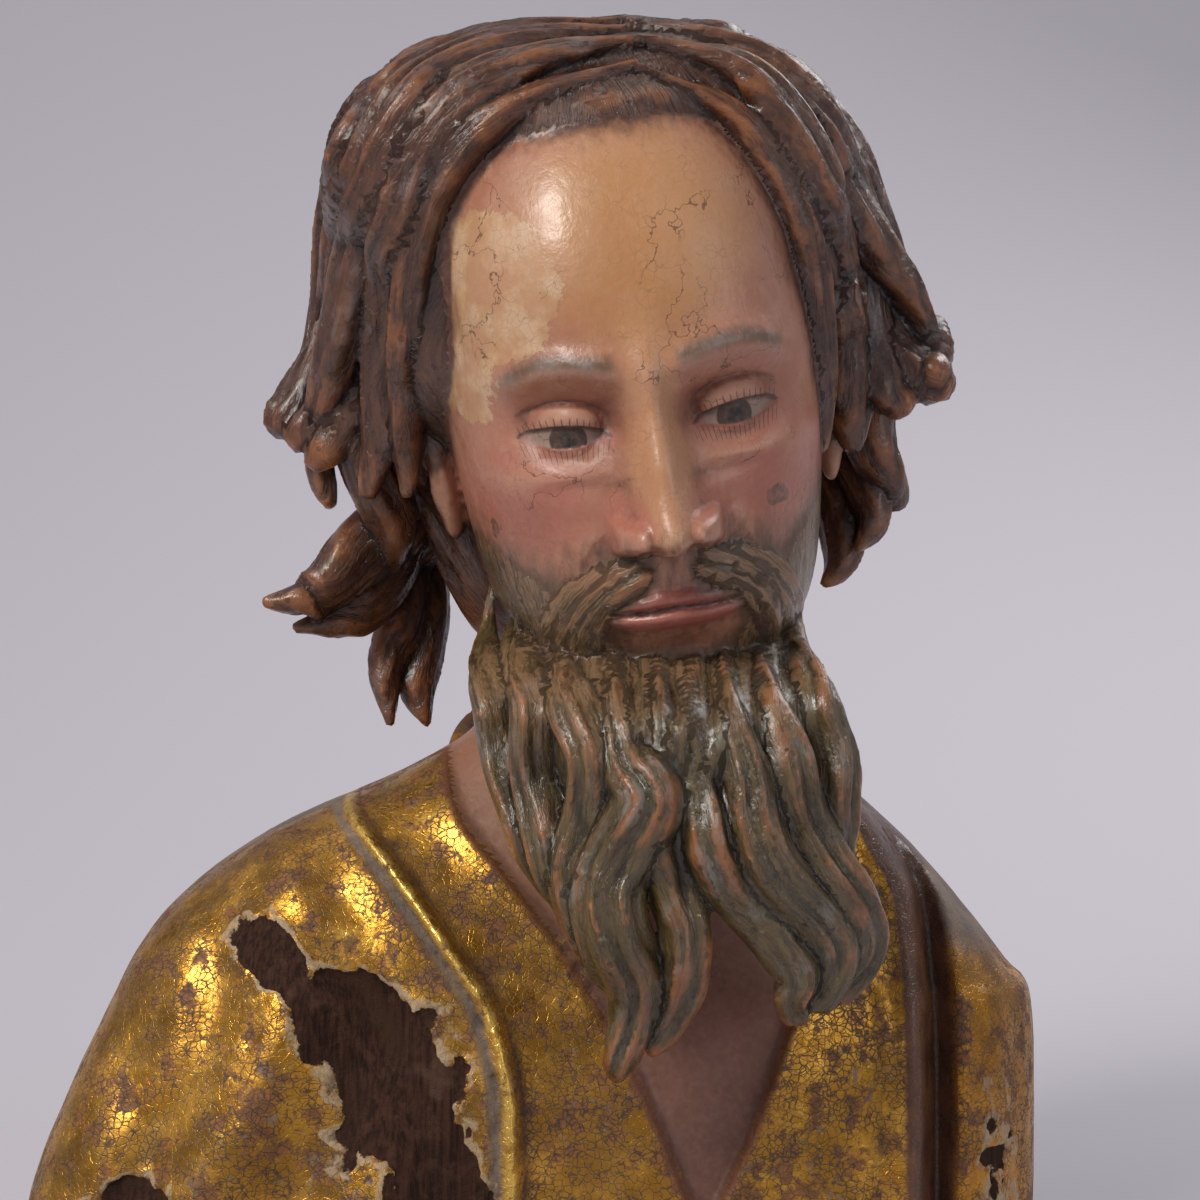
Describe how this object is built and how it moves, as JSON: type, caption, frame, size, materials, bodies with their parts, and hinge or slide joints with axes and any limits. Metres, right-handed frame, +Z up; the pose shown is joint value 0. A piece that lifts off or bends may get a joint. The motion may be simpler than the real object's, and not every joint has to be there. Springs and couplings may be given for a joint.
{
  "type": "polychrome wooden saint bust",
  "caption": "Carved, painted and gilded wooden bust of a bearded saint with bowed head, long wavy hair and a draped mantle, cut flat below to stand.",
  "frame": {"origin": "middle of the whole bust's box in X and Y, on the flat underside that it stands on", "axes": "+Z up, the face looks along -Y, +X to the right of someone facing it"},
  "size_m": [0.3162, 0.1918, 0.3881],
  "materials": {
    "polychrome_wood": "aged paint and worn water gilding on carved wood"
  },
  "bodies": {
    "root": {"saint_bust": "polychrome_wood"}
  },
  "joints": []
}
